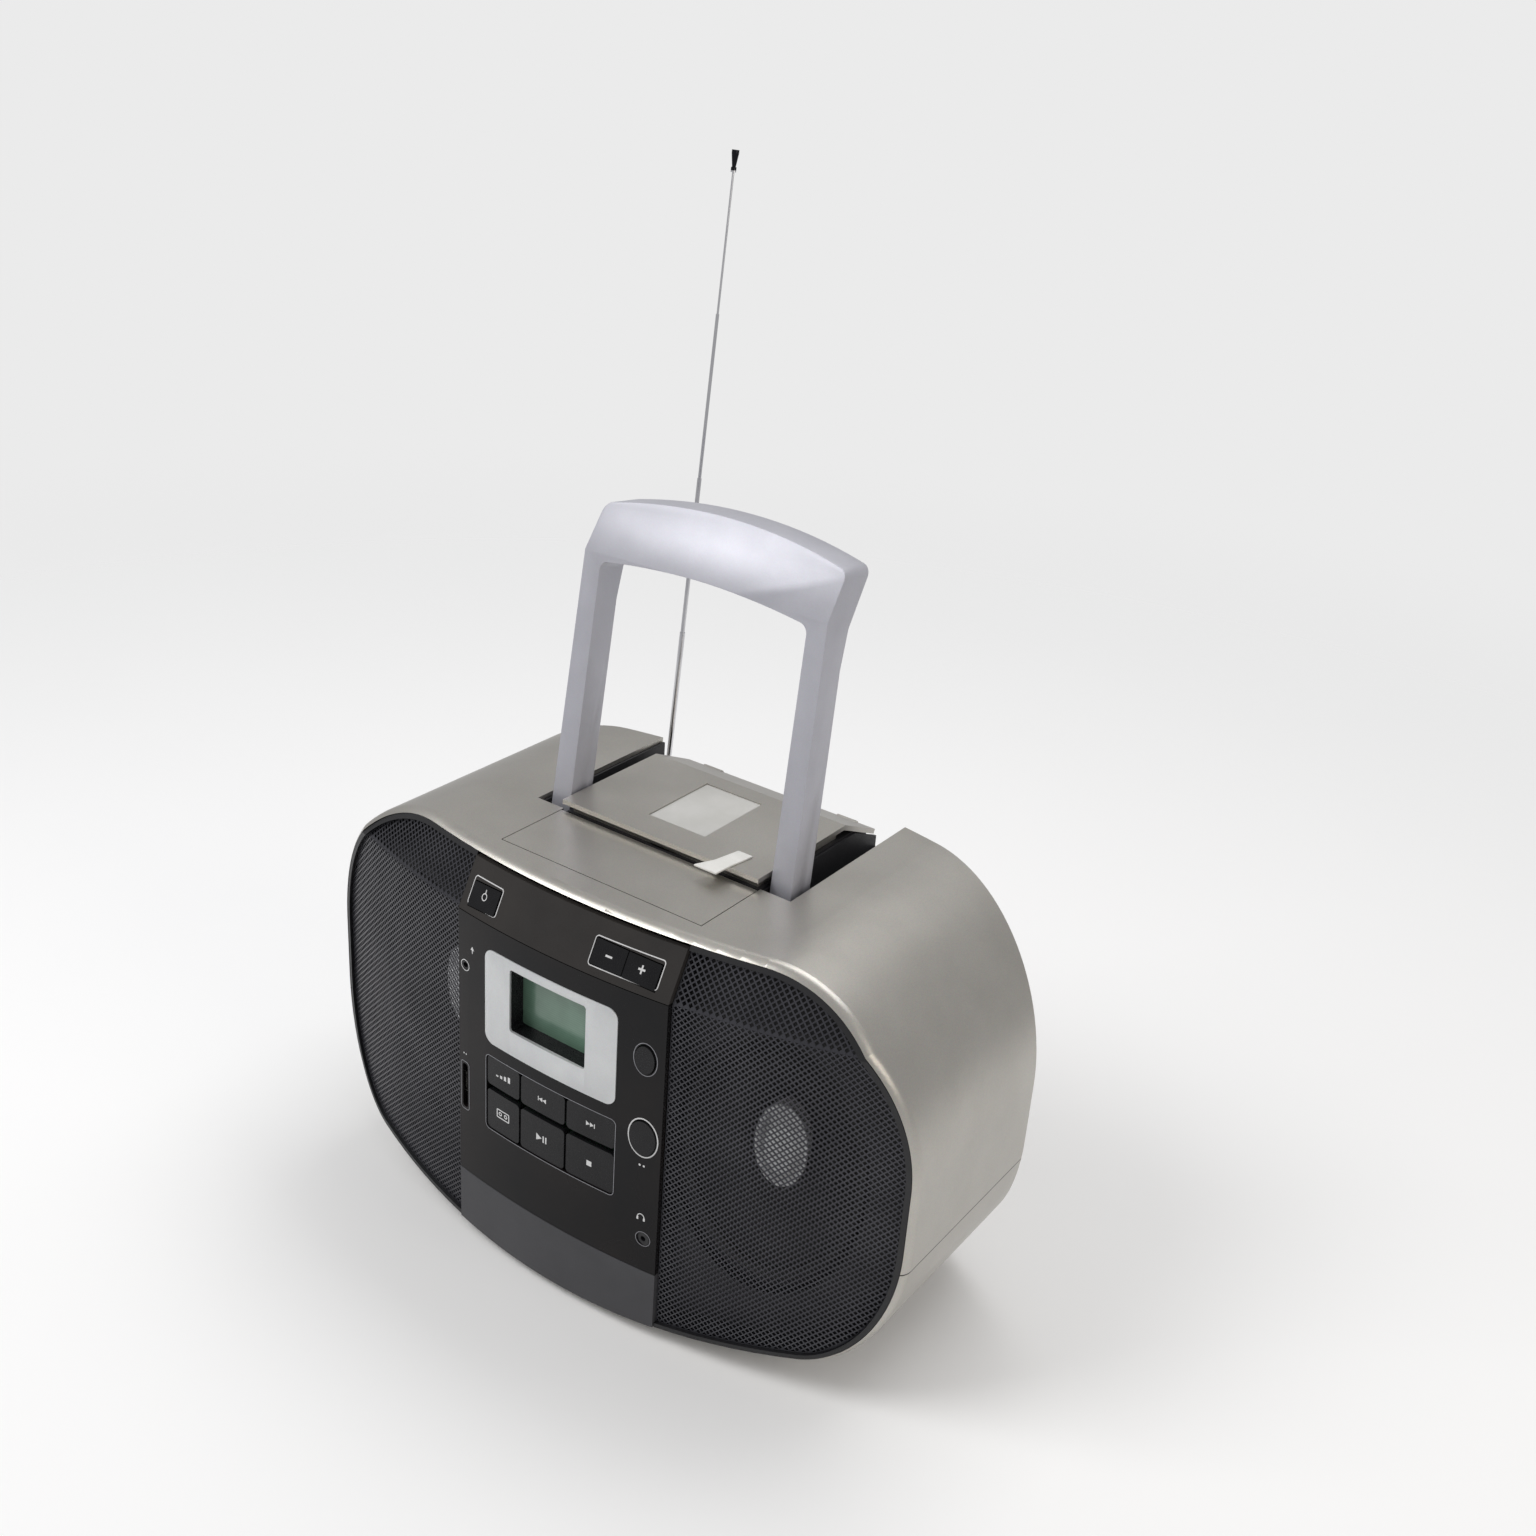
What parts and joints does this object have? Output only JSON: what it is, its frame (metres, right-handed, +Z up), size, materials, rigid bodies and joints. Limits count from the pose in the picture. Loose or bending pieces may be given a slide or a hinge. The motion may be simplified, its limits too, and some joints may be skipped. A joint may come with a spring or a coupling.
{
  "type": "portable cassette player",
  "caption": "Portable radio, disc and cassette player with a folding bail handle, top-opening lids, oval speakers and a telescopic antenna.",
  "frame": {"origin": "middle of the width and half way through the cabinet's depth, on the plane the feet stand on", "axes": "+Z up, front faces -Y, +X to the right as seen from the front"},
  "size_m": [0.444, 0.2702, 0.6464],
  "materials": {
    "silver_shell": "satin metallic paint",
    "black_frame": "fine matt",
    "grille_mesh": "matt, perforated",
    "gloss_black": "piano gloss",
    "strip_brown": "gloss",
    "chin_grey": "satin",
    "bezel_silver": "satin metallic paint",
    "lcd_glass": "display glass",
    "key_black": "semi-gloss",
    "board_green": "solder resist",
    "speaker_steel": "satin",
    "cone_paper": "pressed paper",
    "cap_silver": "metallised film",
    "deck_black": "fine matt",
    "zinc_steel": "zinc plated",
    "chrome": "bright",
    "handle_grey": "satin",
    "clear_window": "clear",
    "white_tab": "satin",
    "white_acetal": "waxy",
    "rubber": "matt",
    "brass": "turned",
    "copper_core": "varnished laminations"
  },
  "bodies": {
    "cabinet": {"antenna_socket": "black_frame", "battery_contacts": "zinc_steel", "cabinet_screws": "zinc_steel", "cassette_chassis": "zinc_steel", "cassette_motor": "zinc_steel", "cd_chassis": "zinc_steel", "cd_deck": "deck_black", "chin_panel": "chin_grey", "control_panel": "gloss_black", "dust_caps": "cap_silver", "front_baffle": "black_frame", "front_jacks": "black_frame", "handle_channels": "deck_black", "handle_pins": "zinc_steel", "key_boards": "board_green", "lcd_bezel": "bezel_silver", "lcd_module": "lcd_glass", "left_grille": "grille_mesh", "lower_cabinet": "silver_shell", "main_board": "board_green", "mains_inlet": "black_frame", "power_transformer": "copper_core", "right_grille": "grille_mesh", "rubber_feet": "rubber", "spindle_motor": "zinc_steel", "top_strip": "strip_brown", "upper_cabinet": "silver_shell", "usb_socket": "zinc_steel", "woofer_cones": "cone_paper", "woofer_drivers": "speaker_steel"},
    "handle": {"handle": "handle_grey"},
    "cd_lid": {"cd_lid": "silver_shell", "cd_window": "clear_window", "lift_tab": "white_tab", "disc_clamp": "deck_black"},
    "cassette_door": {"cassette_door": "silver_shell", "cassette_carrier": "deck_black"},
    "battery_cover": {"battery_cover": "silver_shell"},
    "turntable": {"cd_turntable": "deck_black"},
    "laser_sled": {"laser_sled": "deck_black"},
    "supply_reel": {"supply_reel": "white_acetal"},
    "takeup_reel": {"takeup_reel": "white_acetal"},
    "flywheel": {"capstan_flywheel": "brass"},
    "head_plate": {"head_plate": "zinc_steel"},
    "antenna_knuckle": {"antenna_knuckle": "chrome"},
    "antenna_1": {"antenna_tube_1": "chrome"},
    "antenna_2": {"antenna_tube_2": "chrome"},
    "antenna_3": {"antenna_tube_3": "chrome"},
    "antenna_4": {"antenna_tube_4": "chrome"},
    "band_key": {"band_key": "key_black"},
    "skip_back_key": {"skip_back_key": "key_black"},
    "skip_forward_key": {"skip_forward_key": "key_black"},
    "tape_key": {"tape_key": "key_black"},
    "play_key": {"play_key": "key_black"},
    "stop_key": {"stop_key": "key_black"},
    "sound_key": {"sound_key": "key_black"},
    "surround_key": {"surround_key": "key_black"},
    "power_key": {"power_key": "key_black"},
    "volume_down_key": {"volume_down_key": "key_black"},
    "volume_up_key": {"volume_up_key": "key_black"}
  },
  "joints": [
    {"name": "handle_fold", "type": "hinge", "parent": "cabinet", "child": "handle", "pos_m": [0, -0.003, 0.262], "axis": [-1, 0, 0], "range_deg": [0, 82]},
    {"name": "cd_lid_hinge", "type": "hinge", "parent": "cabinet", "child": "cd_lid", "pos_m": [0, 0.105, 0.261], "axis": [-1, 0, 0], "range_deg": [0, 70]},
    {"name": "cassette_door_hinge", "type": "hinge", "parent": "cabinet", "child": "cassette_door", "pos_m": [0, -0.0224, 0.266], "axis": [-1, 0, 0], "range_deg": [0, 26]},
    {"name": "battery_cover_pull", "type": "slide", "parent": "cabinet", "child": "battery_cover", "axis": [0, 1, 0], "range_m": [0, 0.05]},
    {"name": "turntable_spin", "type": "hinge", "parent": "cabinet", "child": "turntable", "pos_m": [0, 0.044, 0.25], "axis": [0, 0, 1], "continuous": true},
    {"name": "laser_travel", "type": "slide", "parent": "cabinet", "child": "laser_sled", "axis": [1, 0, 0], "range_m": [0, 0.028]},
    {"name": "supply_reel_spin", "type": "hinge", "parent": "cabinet", "child": "supply_reel", "pos_m": [-0.02125, -0.055, 0.2395], "axis": [0, 1, 0], "continuous": true},
    {"name": "takeup_reel_spin", "type": "hinge", "parent": "cabinet", "child": "takeup_reel", "pos_m": [0.02125, -0.055, 0.2395], "axis": [0, 1, 0], "continuous": true},
    {"name": "capstan_spin", "type": "hinge", "parent": "cabinet", "child": "flywheel", "pos_m": [-0.0145, -0.045, 0.211], "axis": [0, 1, 0], "continuous": true},
    {"name": "head_plate_slide", "type": "slide", "parent": "cabinet", "child": "head_plate", "axis": [0, 0, 1], "range_m": [0, 0.005]},
    {"name": "antenna_swivel", "type": "hinge", "parent": "cabinet", "child": "antenna_knuckle", "pos_m": [-0.1, 0.11, 0.225], "axis": [0, 1, 0], "range_deg": [-90, 90]},
    {"name": "antenna_tilt", "type": "hinge", "parent": "antenna_knuckle", "child": "antenna_1", "pos_m": [-0.1, 0.1149, 0.225], "axis": [-1, 0, 0], "range_deg": [-5, 84]},
    {"name": "antenna_slide_2", "type": "slide", "parent": "antenna_1", "child": "antenna_2", "axis": [0, 0.0958, 0.9954], "range_m": [-0.088, 0]},
    {"name": "antenna_slide_3", "type": "slide", "parent": "antenna_2", "child": "antenna_3", "axis": [0, 0.0958, 0.9954], "range_m": [-0.088, 0]},
    {"name": "antenna_slide_4", "type": "slide", "parent": "antenna_3", "child": "antenna_4", "axis": [0, 0.0958, 0.9954], "range_m": [-0.08, 0]},
    {"name": "band_press", "type": "slide", "parent": "cabinet", "child": "band_key", "axis": [0, 1, 0], "range_m": [0, 0.0008], "stiffness_N_per_m": 800},
    {"name": "skip_back_press", "type": "slide", "parent": "cabinet", "child": "skip_back_key", "axis": [0, 1, 0], "range_m": [0, 0.0008], "stiffness_N_per_m": 800},
    {"name": "skip_forward_press", "type": "slide", "parent": "cabinet", "child": "skip_forward_key", "axis": [0, 1, 0], "range_m": [0, 0.0008], "stiffness_N_per_m": 800},
    {"name": "tape_press", "type": "slide", "parent": "cabinet", "child": "tape_key", "axis": [0, 1, 0], "range_m": [0, 0.0008], "stiffness_N_per_m": 800},
    {"name": "play_press", "type": "slide", "parent": "cabinet", "child": "play_key", "axis": [0, 1, 0], "range_m": [0, 0.0008], "stiffness_N_per_m": 800},
    {"name": "stop_press", "type": "slide", "parent": "cabinet", "child": "stop_key", "axis": [0, 1, 0], "range_m": [0, 0.0008], "stiffness_N_per_m": 800},
    {"name": "sound_press", "type": "slide", "parent": "cabinet", "child": "sound_key", "axis": [0, 1, 0], "range_m": [0, 0.0008], "stiffness_N_per_m": 800},
    {"name": "surround_press", "type": "slide", "parent": "cabinet", "child": "surround_key", "axis": [0, 1, 0], "range_m": [0, 0.0008], "stiffness_N_per_m": 800},
    {"name": "power_press", "type": "slide", "parent": "cabinet", "child": "power_key", "axis": [0, 0.8886, -0.4587], "range_m": [0, 0.0008], "stiffness_N_per_m": 800},
    {"name": "volume_down_press", "type": "slide", "parent": "cabinet", "child": "volume_down_key", "axis": [0, 0.8886, -0.4587], "range_m": [0, 0.0008], "stiffness_N_per_m": 800},
    {"name": "volume_up_press", "type": "slide", "parent": "cabinet", "child": "volume_up_key", "axis": [0, 0.8886, -0.4587], "range_m": [0, 0.0008], "stiffness_N_per_m": 800}
  ]
}
